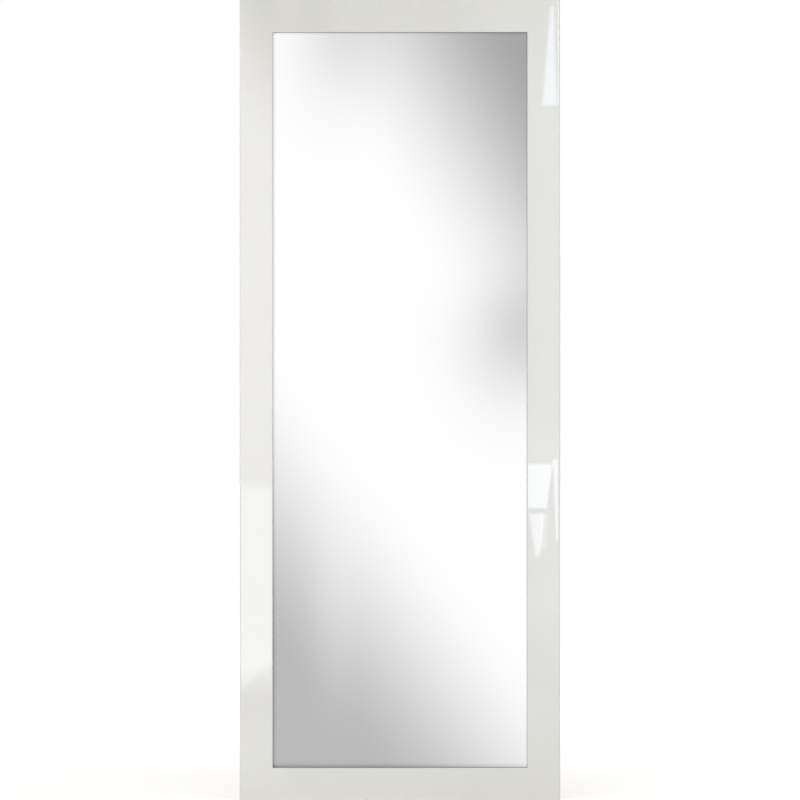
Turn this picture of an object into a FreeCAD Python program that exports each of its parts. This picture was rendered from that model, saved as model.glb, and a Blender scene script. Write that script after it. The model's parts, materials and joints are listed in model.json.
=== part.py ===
"""Leaning floor mirror: a flat, gloss white frame of four mitred rails round a silvered glass pane.

Millimetres. +Z is up, +X runs along the bottom rail, and the mirror faces -Y.
The origin is on the floor, under the middle of the whole object, hardware included.
"""
import FreeCAD, Part

import math
import os

# Frame
FRAME_WIDTH = 640.0
FRAME_HEIGHT = 1600.0
RAIL_WIDTH = 66.0
RAIL_DEPTH = 30.0
OUTER_RADIUS = 5.0  # rounded outer arris of the front face
SIGHT_RADIUS = 1.5  # rounded inner arris, beside the glass
BACK_RADIUS = 1.0  # eased arrises of the rail's back
LIP_DEPTH = 11.0  # thickness of the lip in front of the glass
REBATE_WIDTH = 10.0  # how far the lip covers the rebate behind it

# Glazing, from the lip backwards
TAPE_THICKNESS = 1.0
TAPE_WIDTH = 6.0
TAPE_SHOW = 0.6  # how far the tape's edge shows past the lip, as a thin dark line round the glass
GLASS_THICKNESS = 4.0
GLASS_EDGE_GAP = 3.0  # from the glass edge to the rebate wall
GLASS_SEAM = 0.5  # ground-off arris of the glass
FILM_THICKNESS = 0.2
BOARD_THICKNESS = 6.0
BOARD_CLEARANCE = 1.0  # from the card and the board to the rebate wall
SETTING_BLOCK_LENGTH = 60.0
EDGE_SPACER_LENGTH = 40.0

# Wood screw used throughout
SCREW_HEAD_DIAMETER = 7.0
SCREW_HEAD_HEIGHT = 2.4
SCREW_HEAD_RADIUS = 1.6
SCREW_SHANK_DIAMETER = 3.5
SCREW_LENGTH = 16.0
SCREW_POINT = 4.0
SCREW_RECESS_SPAN = 4.0
SCREW_RECESS_SLOT = 0.9
SCREW_RECESS_DEPTH = 1.5
SCREW_CLEARANCE = 0.05  # round the shank, in what it is driven into or through

# Corner joints
NAIL_LEG = 7.0
NAIL_THICKNESS = 0.8
NAIL_DEPTH = 10.0
NAIL_OUTER_INSET = 9.0  # from the frame's corner to a nail's apex, along both rails
NAIL_INNER_INSET = 44.0
BRACE_SETBACK = 16.0  # from the frame's edges to the brace
BRACE_LEG = 74.0
BRACE_WIDTH = 16.0
BRACE_THICKNESS = 1.5
BRACE_END_RADIUS = 5.0
BRACE_NEAR_HOLE = 28.0  # from the brace's corner, along each leg
BRACE_FAR_HOLE = 64.0

# Pressed steel strips
END_ROUNDING = 0.95  # radius of a strip's rounded end, as a share of its half width

# Turn buttons that hold the backing board
BUTTONS_PER_SIDE = 4
BUTTONS_PER_END = 2
BUTTON_SETBACK = 12.0  # from the rebate wall to the pivot
BUTTON_REACH = 26.0
BUTTON_TAIL = 8.0
BUTTON_WIDTH = 14.0
BUTTON_TIP_WIDTH = 9.0
BUTTON_TIP_RADIUS = 3.5
BUTTON_THICKNESS = 1.2
BUTTON_FLAT = 17.0  # from the pivot to the bend of the finger tab
BUTTON_TAB_ANGLE = 20.0
BUTTON_BEND_RADIUS = 4.0  # inside the bend
BUTTON_REST_GAP = 0.3  # running gap to the rail and the board
BUTTON_HOLE_CLEARANCE = 0.3
BUTTON_HEAD_PLAY = 0.3

# Strap hangers with a swinging ring
STRAP_WIDTH = 14.0
STRAP_LENGTH = 48.0  # from the ring's axis to the strap's lower end
STRAP_THICKNESS = 1.2
STRAP_UPPER_HOLE = 26.0
STRAP_LOWER_HOLE = 40.0
CURL_ANGLE = 270.0
RING_WIRE_DIAMETER = 3.0
RING_CLEARANCE = 0.3  # between the ring's bar and the curl
RING_WIDTH = 22.0  # across the wire's centre line
RING_SIDE = 6.0  # from the bar to where the crown's half circle starts
RING_CORNER_RADIUS = 3.0

# Rubber
BUMPER_HEIGHT = 8.0
BUMPER_BASE_DIAMETER = 22.0
BUMPER_TOP_DIAMETER = 18.0
BUMPER_TOP_RADIUS = 1.5
BUMPER_SEAT = 3.0  # rubber left under the screw head
BUMPER_HEAD_CLEARANCE = 1.0  # round the screw head, in the counterbore
BUMPER_INSET = 112.0  # from the frame's side edge
BUMPER_SETBACK = 18.0  # from the frame's top or bottom edge
FLOOR_PAD_LENGTH = 80.0
FLOOR_PAD_WIDTH = 22.0
FLOOR_PAD_THICKNESS = 3.0
FLOOR_PAD_RADIUS = 4.0
FLOOR_PAD_INSET = 60.0  # from the frame's side edge

# Places that follow from the sizes above
FRONT_Y = -(RAIL_DEPTH + BUMPER_HEIGHT) / 2
BACK_Y = FRONT_Y + RAIL_DEPTH
HALF_WIDTH = FRAME_WIDTH / 2
FRAME_BOTTOM = FLOOR_PAD_THICKNESS
FRAME_MIDDLE = FRAME_BOTTOM + FRAME_HEIGHT / 2
FRAME_TOP = FRAME_BOTTOM + FRAME_HEIGHT
REBATE_WALL = RAIL_WIDTH - REBATE_WIDTH  # from the frame's edge
GLASS_FRONT = LIP_DEPTH + TAPE_THICKNESS  # depths from the front face
GLASS_BACK = GLASS_FRONT + GLASS_THICKNESS
FILM_BACK = GLASS_BACK + FILM_THICKNESS
BOARD_FRONT = RAIL_DEPTH - BOARD_THICKNESS
SHANK_RADIUS = SCREW_SHANK_DIAMETER / 2
BORE_RADIUS = SHANK_RADIUS + SCREW_CLEARANCE
WIRE_RADIUS = RING_WIRE_DIAMETER / 2
CURL_INNER = WIRE_RADIUS + RING_CLEARANCE
CURL_OUTER = CURL_INNER + STRAP_THICKNESS
BUTTON_PIVOT = REBATE_WALL - BUTTON_SETBACK

X_AXIS = FreeCAD.Vector(1, 0, 0)
Y_AXIS = FreeCAD.Vector(0, 1, 0)
ORIGIN = FreeCAD.Vector(0, 0, 0)

# Each rail's local frame: X along the rail, Z from the frame's edge to the glass, Y from front to back.
# turn is about +Y, edge is the middle of the rail's outer edge,
# and sense is 1 where local X runs right or up.
RAILS = {
    "rail_bottom": {"length": FRAME_WIDTH, "turn": 0, "sense": 1, "edge": (0, FRAME_BOTTOM)},
    "rail_left": {"length": FRAME_HEIGHT, "turn": 90, "sense": -1, "edge": (-HALF_WIDTH, FRAME_MIDDLE)},
    "rail_top": {"length": FRAME_WIDTH, "turn": 180, "sense": -1, "edge": (0, FRAME_TOP)},
    "rail_right": {"length": FRAME_HEIGHT, "turn": -90, "sense": 1, "edge": (HALF_WIDTH, FRAME_MIDDLE)},
}

# Each corner's local frame: X and Z run along the two rails, away from the frame's outer corner.
CORNERS = {
    "bottom_left": {"turn": 0, "point": (-HALF_WIDTH, FRAME_BOTTOM)},
    "top_left": {"turn": 90, "point": (-HALF_WIDTH, FRAME_TOP)},
    "top_right": {"turn": 180, "point": (HALF_WIDTH, FRAME_TOP)},
    "bottom_right": {"turn": -90, "point": (HALF_WIDTH, FRAME_BOTTOM)},
}


def rounded_face(corners, to_point):
    """A flat face through corners (a, b, radius), each rounded, with to_point placing (a, b) in space."""
    count = len(corners)
    runs = []
    for i, (a, b, radius) in enumerate(corners):
        corner = FreeCAD.Vector(a, b, 0)
        before = FreeCAD.Vector(*corners[i - 1][:2], 0) - corner
        after = FreeCAD.Vector(*corners[(i + 1) % count][:2], 0) - corner
        before.normalize()
        after.normalize()
        half = before.getAngle(after) / 2
        tangent = radius / math.tan(half)
        middle = before + after
        middle.normalize()
        reach = radius / math.sin(half) - radius
        runs.append((corner + before * tangent, corner + middle * reach, corner + after * tangent))
    edges = []
    for i, (start, middle, end) in enumerate(runs):
        if corners[i][2] > 0:
            edges.append(Part.Arc(to_point(start), to_point(middle), to_point(end)).toShape())
        following = runs[(i + 1) % count][0]
        if (following - end).Length > Part.Precision.confusion():
            edges.append(Part.LineSegment(to_point(end), to_point(following)).toShape())
    return Part.Face(Part.Wire(edges))


def across_x(point):
    """Places an outline's (a, b) in the plane across X, as (z, y)."""
    return FreeCAD.Vector(0, point.y, point.x)


def across_y(point):
    """Places an outline's (a, b) in the plane across Y, as (x, z)."""
    return FreeCAD.Vector(point.x, 0, point.y)


def across_z(point):
    """Places an outline's (a, b) in the plane across Z, as (x, y)."""
    return FreeCAD.Vector(point.x, point.y, 0)


def box(x_range, depth_range, z_range):
    """A block between two X values, two depths behind the front face and two heights."""
    (x0, x1), (d0, d1), (z0, z1) = x_range, depth_range, z_range
    return Part.makeBox(x1 - x0, d1 - d0, z1 - z0, FreeCAD.Vector(x0, FRONT_Y + d0, z0))


def inside_frame(margin):
    """The X range and Z range of a sheet whose edges lie at margin inside the frame's outer edges."""
    half = HALF_WIDTH - margin
    return (-half, half), (FRAME_BOTTOM + margin, FRAME_TOP - margin)


def moved(shape, placement):
    """A copy of a shape, carried from its local frame by a placement."""
    copy = shape.copy()
    copy.Placement = placement.multiply(copy.Placement)
    return copy


def turned_place(turn, corner, offset):
    """A local frame on the frame's back: turned about +Y at a point (x, z), with an offset inside it."""
    turning = FreeCAD.Rotation(Y_AXIS, turn)
    base = FreeCAD.Placement(FreeCAD.Vector(corner[0], BACK_Y, corner[1]), turning)
    return base.multiply(FreeCAD.Placement(FreeCAD.Vector(*offset), FreeCAD.Rotation()))


def on_rail(name, along, inward, lift=0.0):
    """A place on a rail's back: along it from its middle, inward from its outer edge, lifted off it."""
    rail = RAILS[name]
    return turned_place(rail["turn"], rail["edge"], (along, lift, inward))


def at_corner(name, x, z, lift=0.0):
    """A place on a corner's back, at (x, z) from the frame's outer corner, lifted off the back face."""
    corner = CORNERS[name]
    return turned_place(corner["turn"], corner["point"], (x, lift, z))


def spread(count, length):
    """Evenly spaced positions along a length about its middle, half a step in from both ends."""
    step = length / count
    return [(i + 0.5) * step - length / 2 for i in range(count)]


def wood_screw():
    """A pan-head cross-recess screw along +Y, with the underside of its head at the origin."""
    head = SCREW_HEAD_DIAMETER / 2
    outline = rounded_face(
        [
            (0, SCREW_HEAD_HEIGHT, 0),
            (head, SCREW_HEAD_HEIGHT, SCREW_HEAD_RADIUS),
            (head, 0, 0),
            (SHANK_RADIUS, 0, 0),
            (SHANK_RADIUS, SCREW_POINT - SCREW_LENGTH, 0),
            (0, -SCREW_LENGTH, 0),
        ],
        across_z,
    )
    screw = outline.revolve(ORIGIN, Y_AXIS, 360)
    recess_floor = SCREW_HEAD_HEIGHT - SCREW_RECESS_DEPTH
    slot = Part.makeBox(
        SCREW_RECESS_SPAN,
        SCREW_RECESS_DEPTH,
        SCREW_RECESS_SLOT,
        FreeCAD.Vector(-SCREW_RECESS_SPAN / 2, recess_floor, -SCREW_RECESS_SLOT / 2),
    )
    for turn in (45, 135):
        screw = screw.cut(moved(slot, FreeCAD.Placement(ORIGIN, FreeCAD.Rotation(Y_AXIS, turn))))
    return screw


def screw_bore(radius):
    """The hole that a screw needs, from the underside of its head to past its point."""
    past_point = SCREW_LENGTH + SCREW_CLEARANCE
    return Part.makeCylinder(radius, past_point, FreeCAD.Vector(0, -past_point, 0), Y_AXIS)


def screw_places():
    """Where every screw's head sits, in groups by what it fastens."""
    brace_holes = [BRACE_SETBACK + BRACE_NEAR_HOLE, BRACE_SETBACK + BRACE_FAR_HOLE]
    brace_line = BRACE_SETBACK + BRACE_WIDTH / 2
    braces = []
    for corner in CORNERS:
        for hole in brace_holes:
            braces.append(at_corner(corner, hole, brace_line, BRACE_THICKNESS))
            braces.append(at_corner(corner, brace_line, hole, BRACE_THICKNESS))
    head_lift = BUTTON_REST_GAP + BUTTON_THICKNESS + BUTTON_HEAD_PLAY
    buttons = [on_rail(rail, along, BUTTON_PIVOT, head_lift) for rail, along in button_spots().values()]
    hangers = []
    for x, z in hanger_spots().values():
        for hole in (STRAP_UPPER_HOLE, STRAP_LOWER_HOLE):
            hangers.append(turned_place(0, (x, z - hole), (0, STRAP_THICKNESS, 0)))
    bumpers = [on_rail(rail, along, BUMPER_SETBACK, BUMPER_SEAT) for rail, along in bumper_spots()]
    return {
        "brace_screws": braces,
        "turn_button_screws": buttons,
        "hanger_screws": hangers,
        "bumper_screws": bumpers,
    }


def rail_section():
    """A rail's section across its length, as (inward from the outer edge, depth from the front face)."""
    return rounded_face(
        [
            (0, 0, OUTER_RADIUS),
            (RAIL_WIDTH, 0, SIGHT_RADIUS),
            (RAIL_WIDTH, LIP_DEPTH, 0),
            (REBATE_WALL, LIP_DEPTH, 0),
            (REBATE_WALL, RAIL_DEPTH, BACK_RADIUS),
            (0, RAIL_DEPTH, BACK_RADIUS),
        ],
        across_x,
    )


def mitred_rail(name, cutters):
    """One rail, cut to its mitres, with the holes and slots that its hardware needs."""
    rail = RAILS[name]
    half = rail["length"] / 2
    bar = moved(
        rail_section().extrude(X_AXIS * rail["length"]),
        FreeCAD.Placement(FreeCAD.Vector(-half, 0, 0), FreeCAD.Rotation()),
    )
    short_half = half - RAIL_WIDTH
    mitres = rounded_face(
        [(-half, 0, 0), (half, 0, 0), (short_half, RAIL_WIDTH, 0), (-short_half, RAIL_WIDTH, 0)],
        across_y,
    ).extrude(Y_AXIS * RAIL_DEPTH)
    to_frame = turned_place(rail["turn"], rail["edge"], (0, -RAIL_DEPTH, 0))
    return moved(bar.common(mitres), to_frame).cut(cutters)


def corner_nails():
    """Two folded V-nails driven across each mitre from the back, flush with it."""
    fold = rounded_face(
        [
            (0, 0, 0),
            (NAIL_LEG, 0, 0),
            (NAIL_LEG, NAIL_THICKNESS, 0),
            (NAIL_THICKNESS, NAIL_THICKNESS, 0),
            (NAIL_THICKNESS, NAIL_LEG, 0),
            (0, NAIL_LEG, 0),
        ],
        across_y,
    )
    nail = fold.extrude(Y_AXIS * -NAIL_DEPTH)
    insets = (NAIL_OUTER_INSET, NAIL_INNER_INSET)
    return [moved(nail, at_corner(name, inset, inset)) for name in CORNERS for inset in insets]


def corner_brace():
    """An L-shaped steel plate, in a corner's frame, with clearance holes for its screws."""
    near, far, inner = BRACE_SETBACK, BRACE_SETBACK + BRACE_LEG, BRACE_SETBACK + BRACE_WIDTH
    plate = rounded_face(
        [
            (near, near, BRACE_END_RADIUS),
            (far, near, BRACE_END_RADIUS),
            (far, inner, BRACE_END_RADIUS),
            (inner, inner, 0),
            (inner, far, BRACE_END_RADIUS),
            (near, far, BRACE_END_RADIUS),
        ],
        across_y,
    ).extrude(Y_AXIS * BRACE_THICKNESS)
    middle = near + BRACE_WIDTH / 2
    for hole in (near + BRACE_NEAR_HOLE, near + BRACE_FAR_HOLE):
        for x, z in ((hole, middle), (middle, hole)):
            start = FreeCAD.Vector(x, 0, z)
            plate = plate.cut(Part.makeCylinder(BORE_RADIUS, BRACE_THICKNESS, start, Y_AXIS))
    return plate


def glazing_tape():
    """Four strips of foam tape on the back of the lip, which cushion the glass."""
    inner = RAIL_WIDTH + TAPE_SHOW
    outer = inner - TAPE_WIDTH
    (x0, x1), (z0, z1) = inside_frame(outer)
    (x2, x3), (z2, z3) = inside_frame(inner)
    depth = (LIP_DEPTH, GLASS_FRONT)
    return [
        box((x0, x2), depth, (z0, z1)),
        box((x3, x1), depth, (z0, z1)),
        box((x2, x3), depth, (z0, z2)),
        box((x2, x3), depth, (z3, z1)),
    ]


def mirror_glass():
    """The silvered pane, with ground arrises."""
    x_range, z_range = inside_frame(REBATE_WALL + GLASS_EDGE_GAP)
    pane = box(x_range, (GLASS_FRONT, GLASS_BACK), z_range)
    return pane.makeChamfer(GLASS_SEAM, pane.Edges)


def safety_film():
    """The film on the glass's back, inside its ground arris."""
    x_range, z_range = inside_frame(REBATE_WALL + GLASS_EDGE_GAP + GLASS_SEAM)
    return box(x_range, (GLASS_BACK, FILM_BACK), z_range)


def card_pad():
    """The corrugated card that fills the rebate between the film and the board."""
    x_range, z_range = inside_frame(REBATE_WALL + BOARD_CLEARANCE)
    return box(x_range, (FILM_BACK, BOARD_FRONT), z_range)


def backing_board():
    """The board that closes the back, flush with the rails."""
    x_range, z_range = inside_frame(REBATE_WALL + BOARD_CLEARANCE)
    return box(x_range, (BOARD_FRONT, RAIL_DEPTH), z_range)


def edge_packer(rail, along, length):
    """A packer between the glass's edge and a rail's rebate wall, as thick as the gap between them."""
    block = Part.makeBox(
        length,
        GLASS_THICKNESS,
        GLASS_EDGE_GAP,
        FreeCAD.Vector(-length / 2, GLASS_FRONT - RAIL_DEPTH, 0),
    )
    return moved(block, on_rail(rail, along, REBATE_WALL))


def setting_blocks():
    """The two blocks that the glass stands on."""
    return [edge_packer("rail_bottom", along, SETTING_BLOCK_LENGTH) for along in spread(2, FRAME_WIDTH)]


def edge_spacers():
    """The packers that centre the glass between the sides and under the top rail."""
    spacers = []
    for rail in ("rail_left", "rail_right", "rail_top"):
        for along in spread(2, RAILS[rail]["length"]):
            spacers.append(edge_packer(rail, along, EDGE_SPACER_LENGTH))
    return spacers


def button_spots():
    """Each turn button's name, counted from the left or the floor, with its rail and place along it."""
    counts = {
        "left": BUTTONS_PER_SIDE,
        "right": BUTTONS_PER_SIDE,
        "top": BUTTONS_PER_END,
        "bottom": BUTTONS_PER_END,
    }
    spots = {}
    for side, count in counts.items():
        rail = "rail_" + side
        for i, along in enumerate(spread(count, RAILS[rail]["length"])):
            spots[f"turn_button_{side}_{i + 1}"] = (rail, along * RAILS[rail]["sense"])
    return spots


def turn_button():
    """A pressed steel button that points along +Z from its pivot, with a finger tab bent up at its tip."""
    low = BUTTON_REST_GAP
    high = low + BUTTON_THICKNESS
    rise = (BUTTON_REACH - BUTTON_FLAT) * math.tan(math.radians(BUTTON_TAB_ANGLE))
    side = rounded_face(
        [
            (-BUTTON_TAIL, low, 0),
            (BUTTON_FLAT, low, BUTTON_BEND_RADIUS + BUTTON_THICKNESS),
            (BUTTON_REACH, low + rise, 0),
            (BUTTON_REACH, high + rise, 0),
            (BUTTON_FLAT, high, BUTTON_BEND_RADIUS),
            (-BUTTON_TAIL, high, 0),
        ],
        across_x,
    )
    bent_strip = moved(
        side.extrude(X_AXIS * BUTTON_WIDTH),
        FreeCAD.Placement(FreeCAD.Vector(-BUTTON_WIDTH / 2, 0, 0), FreeCAD.Rotation()),
    )
    half, tip = BUTTON_WIDTH / 2, BUTTON_TIP_WIDTH / 2
    tail_radius = min(half, BUTTON_TAIL) * END_ROUNDING
    outline = rounded_face(
        [
            (-half, -BUTTON_TAIL, tail_radius),
            (half, -BUTTON_TAIL, tail_radius),
            (half, BUTTON_TAIL, 0),
            (tip, BUTTON_REACH, BUTTON_TIP_RADIUS),
            (-tip, BUTTON_REACH, BUTTON_TIP_RADIUS),
            (-half, BUTTON_TAIL, 0),
        ],
        across_y,
    ).extrude(Y_AXIS * (high + rise))
    hole = Part.makeCylinder(SHANK_RADIUS + BUTTON_HOLE_CLEARANCE, high, ORIGIN, Y_AXIS)
    return bent_strip.common(outline).cut(hole)


def hanger_spots():
    """Each hanger's ring axis, as (x, z): mid-rail, halfway between the two highest turn buttons."""
    upper_two = sorted(spread(BUTTONS_PER_SIDE, FRAME_HEIGHT))[-2:]
    z = FRAME_MIDDLE + sum(upper_two) / 2
    x = HALF_WIDTH - REBATE_WALL / 2
    return {"left": (-x, z), "right": (x, z)}


def hanger_strap():
    """A steel strap that hangs from the ring's axis, with its upper end curled round the ring's bar."""

    def curl_point(radius, degrees):
        angle = math.radians(degrees)
        return FreeCAD.Vector(0, CURL_OUTER - radius * math.cos(angle), radius * math.sin(angle))

    def curl_arc(radius, start, end):
        points = [curl_point(radius, start + (end - start) * share) for share in (0, 0.5, 1)]
        return Part.Arc(*points).toShape()

    lower_outer = FreeCAD.Vector(0, 0, -STRAP_LENGTH)
    lower_inner = FreeCAD.Vector(0, STRAP_THICKNESS, -STRAP_LENGTH)
    edges = [
        Part.LineSegment(lower_outer, curl_point(CURL_OUTER, 0)).toShape(),
        curl_arc(CURL_OUTER, 0, CURL_ANGLE),
        Part.LineSegment(curl_point(CURL_OUTER, CURL_ANGLE), curl_point(CURL_INNER, CURL_ANGLE)).toShape(),
        curl_arc(CURL_INNER, CURL_ANGLE, 0),
        Part.LineSegment(curl_point(CURL_INNER, 0), lower_inner).toShape(),
        Part.LineSegment(lower_inner, lower_outer).toShape(),
    ]
    strip = moved(
        Part.Face(Part.Wire(edges)).extrude(X_AXIS * STRAP_WIDTH),
        FreeCAD.Placement(FreeCAD.Vector(-STRAP_WIDTH / 2, 0, 0), FreeCAD.Rotation()),
    )
    half = STRAP_WIDTH / 2
    end_radius = half * END_ROUNDING
    outline = rounded_face(
        [
            (-half, -STRAP_LENGTH, end_radius),
            (half, -STRAP_LENGTH, end_radius),
            (half, CURL_OUTER, 0),
            (-half, CURL_OUTER, 0),
        ],
        across_y,
    ).extrude(Y_AXIS * 2 * CURL_OUTER)
    strap = strip.common(outline)
    for hole in (STRAP_UPPER_HOLE, STRAP_LOWER_HOLE):
        start = FreeCAD.Vector(0, 0, -hole)
        strap = strap.cut(Part.makeCylinder(BORE_RADIUS, STRAP_THICKNESS, start, Y_AXIS))
    return strap


def hanger_ring():
    """A D-shaped wire ring that hangs from its straight bar, whose axis is the strap's curl."""
    half = RING_WIDTH / 2
    crown = RING_SIDE + half
    bar = half - RING_CORNER_RADIUS
    bend = RING_CORNER_RADIUS * (1 - math.sqrt(0.5))

    def at(x, z):
        return FreeCAD.Vector(x, CURL_OUTER, z)

    path = Part.Wire(
        [
            Part.LineSegment(at(-bar, 0), at(bar, 0)).toShape(),
            Part.Arc(at(bar, 0), at(half - bend, -bend), at(half, -RING_CORNER_RADIUS)).toShape(),
            Part.LineSegment(at(half, -RING_CORNER_RADIUS), at(half, -RING_SIDE)).toShape(),
            Part.Arc(at(half, -RING_SIDE), at(0, -crown), at(-half, -RING_SIDE)).toShape(),
            Part.LineSegment(at(-half, -RING_SIDE), at(-half, -RING_CORNER_RADIUS)).toShape(),
            Part.Arc(at(-half, -RING_CORNER_RADIUS), at(bend - half, -bend), at(-bar, 0)).toShape(),
        ]
    )
    wire_section = Part.Wire(Part.Circle(at(-bar, 0), X_AXIS, WIRE_RADIUS).toShape())
    return path.makePipeShell([wire_section], True, False)


def bumper_spots():
    """Each wall bumper's rail and its place along that rail."""
    along = HALF_WIDTH - BUMPER_INSET
    return [(rail, side * along) for rail in ("rail_top", "rail_bottom") for side in (-1, 1)]


def wall_bumper():
    """A tapered rubber bumper along +Y, counterbored for its screw."""
    counterbore = SCREW_HEAD_DIAMETER / 2 + BUMPER_HEAD_CLEARANCE
    section = rounded_face(
        [
            (BORE_RADIUS, 0, 0),
            (BUMPER_BASE_DIAMETER / 2, 0, 0),
            (BUMPER_TOP_DIAMETER / 2, BUMPER_HEIGHT, BUMPER_TOP_RADIUS),
            (counterbore, BUMPER_HEIGHT, 0),
            (counterbore, BUMPER_SEAT, 0),
            (BORE_RADIUS, BUMPER_SEAT, 0),
        ],
        across_z,
    )
    return section.revolve(ORIGIN, Y_AXIS, 360)


def floor_pad(side):
    """A non-slip pad under the bottom rail, near its left (-1) or right (1) end."""
    flat_middle = FRONT_Y + (OUTER_RADIUS + RAIL_DEPTH - BACK_RADIUS) / 2
    half_width = FLOOR_PAD_WIDTH / 2
    x = side * (HALF_WIDTH - FLOOR_PAD_INSET - FLOOR_PAD_LENGTH / 2)
    half = FLOOR_PAD_LENGTH / 2
    outline = rounded_face(
        [
            (x - half, flat_middle - half_width, FLOOR_PAD_RADIUS),
            (x + half, flat_middle - half_width, FLOOR_PAD_RADIUS),
            (x + half, flat_middle + half_width, FLOOR_PAD_RADIUS),
            (x - half, flat_middle + half_width, FLOOR_PAD_RADIUS),
        ],
        across_z,
    )
    return outline.extrude(FreeCAD.Vector(0, 0, FLOOR_PAD_THICKNESS))


def build():
    """Every sub-part by its node name, each as a list of its separate solids."""
    places = screw_places()
    screw, bore = wood_screw(), screw_bore(BORE_RADIUS)
    nails = corner_nails()
    bores = [moved(bore, place) for group in places.values() for place in group]
    parts = {name: [mitred_rail(name, bores + nails)] for name in RAILS}
    parts["corner_v_nails"] = nails
    brace = corner_brace()
    parts["corner_braces"] = [moved(brace, at_corner(name, 0, 0)) for name in CORNERS]
    for group, group_places in places.items():
        parts[group] = [moved(screw, place) for place in group_places]
    parts["glazing_tape"] = glazing_tape()
    parts["mirror_glass"] = [mirror_glass()]
    parts["safety_film"] = [safety_film()]
    parts["corrugated_card_pad"] = [card_pad()]
    parts["backing_board"] = [backing_board()]
    parts["setting_blocks"] = setting_blocks()
    parts["edge_spacers"] = edge_spacers()
    button = turn_button()
    for name, (rail, along) in button_spots().items():
        parts[name] = [moved(button, on_rail(rail, along, BUTTON_PIVOT))]
    strap, ring = hanger_strap(), hanger_ring()
    for side, (x, z) in hanger_spots().items():
        place = turned_place(0, (x, z), (0, 0, 0))
        parts[f"hanger_strap_{side}"] = [moved(strap, place)]
        parts[f"hanger_ring_{side}"] = [moved(ring, place)]
    bumper = wall_bumper()
    for rail, along in bumper_spots():
        place = on_rail(rail, along, BUMPER_SETBACK)
        end = "left" if place.Base.x < 0 else "right"
        parts[f"wall_bumper_{rail[5:]}_{end}"] = [moved(bumper, place)]
    parts["floor_pad_left"] = [floor_pad(-1)]
    parts["floor_pad_right"] = [floor_pad(1)]
    return parts


def main():
    """Writes one STEP file for each sub-part."""
    os.makedirs("parts", exist_ok=True)
    for name, solids in build().items():
        shape = solids[0] if len(solids) == 1 else Part.makeCompound(solids)
        shape.exportStep(f"parts/{name}.step")


main()
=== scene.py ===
"""Dresses the leaning floor mirror: gloss foil rails, silvered glass, a board back and its plated hardware.

Sizes in the classes are millimetres, and the meshes are in metres in the model's own frame:
+Z up, +X along the bottom rail, the glass facing -Y.
"""

import json
import logging
import math
from dataclasses import dataclass, field
from enum import Enum

import bmesh
import bpy
import numpy as np
from mathutils import Matrix, Vector


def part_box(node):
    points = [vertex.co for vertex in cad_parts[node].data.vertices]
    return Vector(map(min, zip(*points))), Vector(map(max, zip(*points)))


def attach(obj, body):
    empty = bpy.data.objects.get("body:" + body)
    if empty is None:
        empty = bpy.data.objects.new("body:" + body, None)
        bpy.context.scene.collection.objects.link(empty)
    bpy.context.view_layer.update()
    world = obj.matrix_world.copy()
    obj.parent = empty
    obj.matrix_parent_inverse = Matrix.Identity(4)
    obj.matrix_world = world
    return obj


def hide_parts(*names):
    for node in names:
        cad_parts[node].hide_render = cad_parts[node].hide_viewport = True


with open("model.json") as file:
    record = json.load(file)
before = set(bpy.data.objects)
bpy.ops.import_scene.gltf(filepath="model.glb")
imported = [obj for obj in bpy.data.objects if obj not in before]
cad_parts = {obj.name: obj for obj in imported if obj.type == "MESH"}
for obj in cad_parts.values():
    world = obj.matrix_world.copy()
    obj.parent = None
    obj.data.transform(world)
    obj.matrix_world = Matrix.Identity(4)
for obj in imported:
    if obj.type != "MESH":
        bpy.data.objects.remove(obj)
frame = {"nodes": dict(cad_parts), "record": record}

LOG = logging.getLogger("floor_mirror")
MM = 0.001
SIDES = (-1, 1)
FRAME_BODY = "frame"

# The rails' outer box and width, and the pane's front, as the frame gives them.
FRAME_LOW = [round(c / MM, 3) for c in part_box("rail_bottom")[0]]
FRAME_HIGH = [round(c / MM, 3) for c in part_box("rail_top")[1]]
FRAME_WIDTH, FRAME_HEIGHT = FRAME_HIGH[0] - FRAME_LOW[0], FRAME_HIGH[2] - FRAME_LOW[2]
FRAME_BOTTOM, FRAME_MIDDLE = FRAME_LOW[2], FRAME_LOW[2] + FRAME_HEIGHT / 2
FRONT_Y, BACK_Y = FRAME_LOW[1], FRAME_HIGH[1]
RAIL_WIDTH = round(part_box("rail_bottom")[1].z / MM, 3) - FRAME_BOTTOM
PANE_Y = round(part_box("mirror_glass")[0].y / MM, 3)

# The rebate is cut in from the rails' inner edge.
REBATE_WIDTH = 10.0
REBATE_WALL = RAIL_WIDTH - REBATE_WIDTH

# Sockets of a Mix node that has colours in and out.
MIX_FIRST, MIX_SECOND, MIX_RESULT = 6, 7, 2

Colour = tuple[float, float, float, float]
Pair = tuple[float, float]
Point = tuple[float, float, float]


def linear(code: str) -> Colour:
    """Turns an sRGB hex value into a linear colour.

    Args:
        code: Six hex digits after a hash sign.

    Returns:
        Linear red, green, blue and an alpha of 1.
    """
    shares = [int(code[i : i + 2], 16) / 255 for i in (1, 3, 5)]
    red, green, blue = [s / 12.92 if s <= 0.04045 else ((s + 0.055) / 1.055) ** 2.4 for s in shares]
    return red, green, blue, 1.0


def per_metre(size_mm: float) -> float:
    """Gives the texture scale at which one feature of a pattern is size_mm across."""
    return 1000.0 / size_mm


def spread(count: int, length: float) -> list[float]:
    """Gives the middles of count equal stretches of a length, measured from its middle."""
    return [((i + 0.5) / count - 0.5) * length for i in range(count)]


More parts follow.
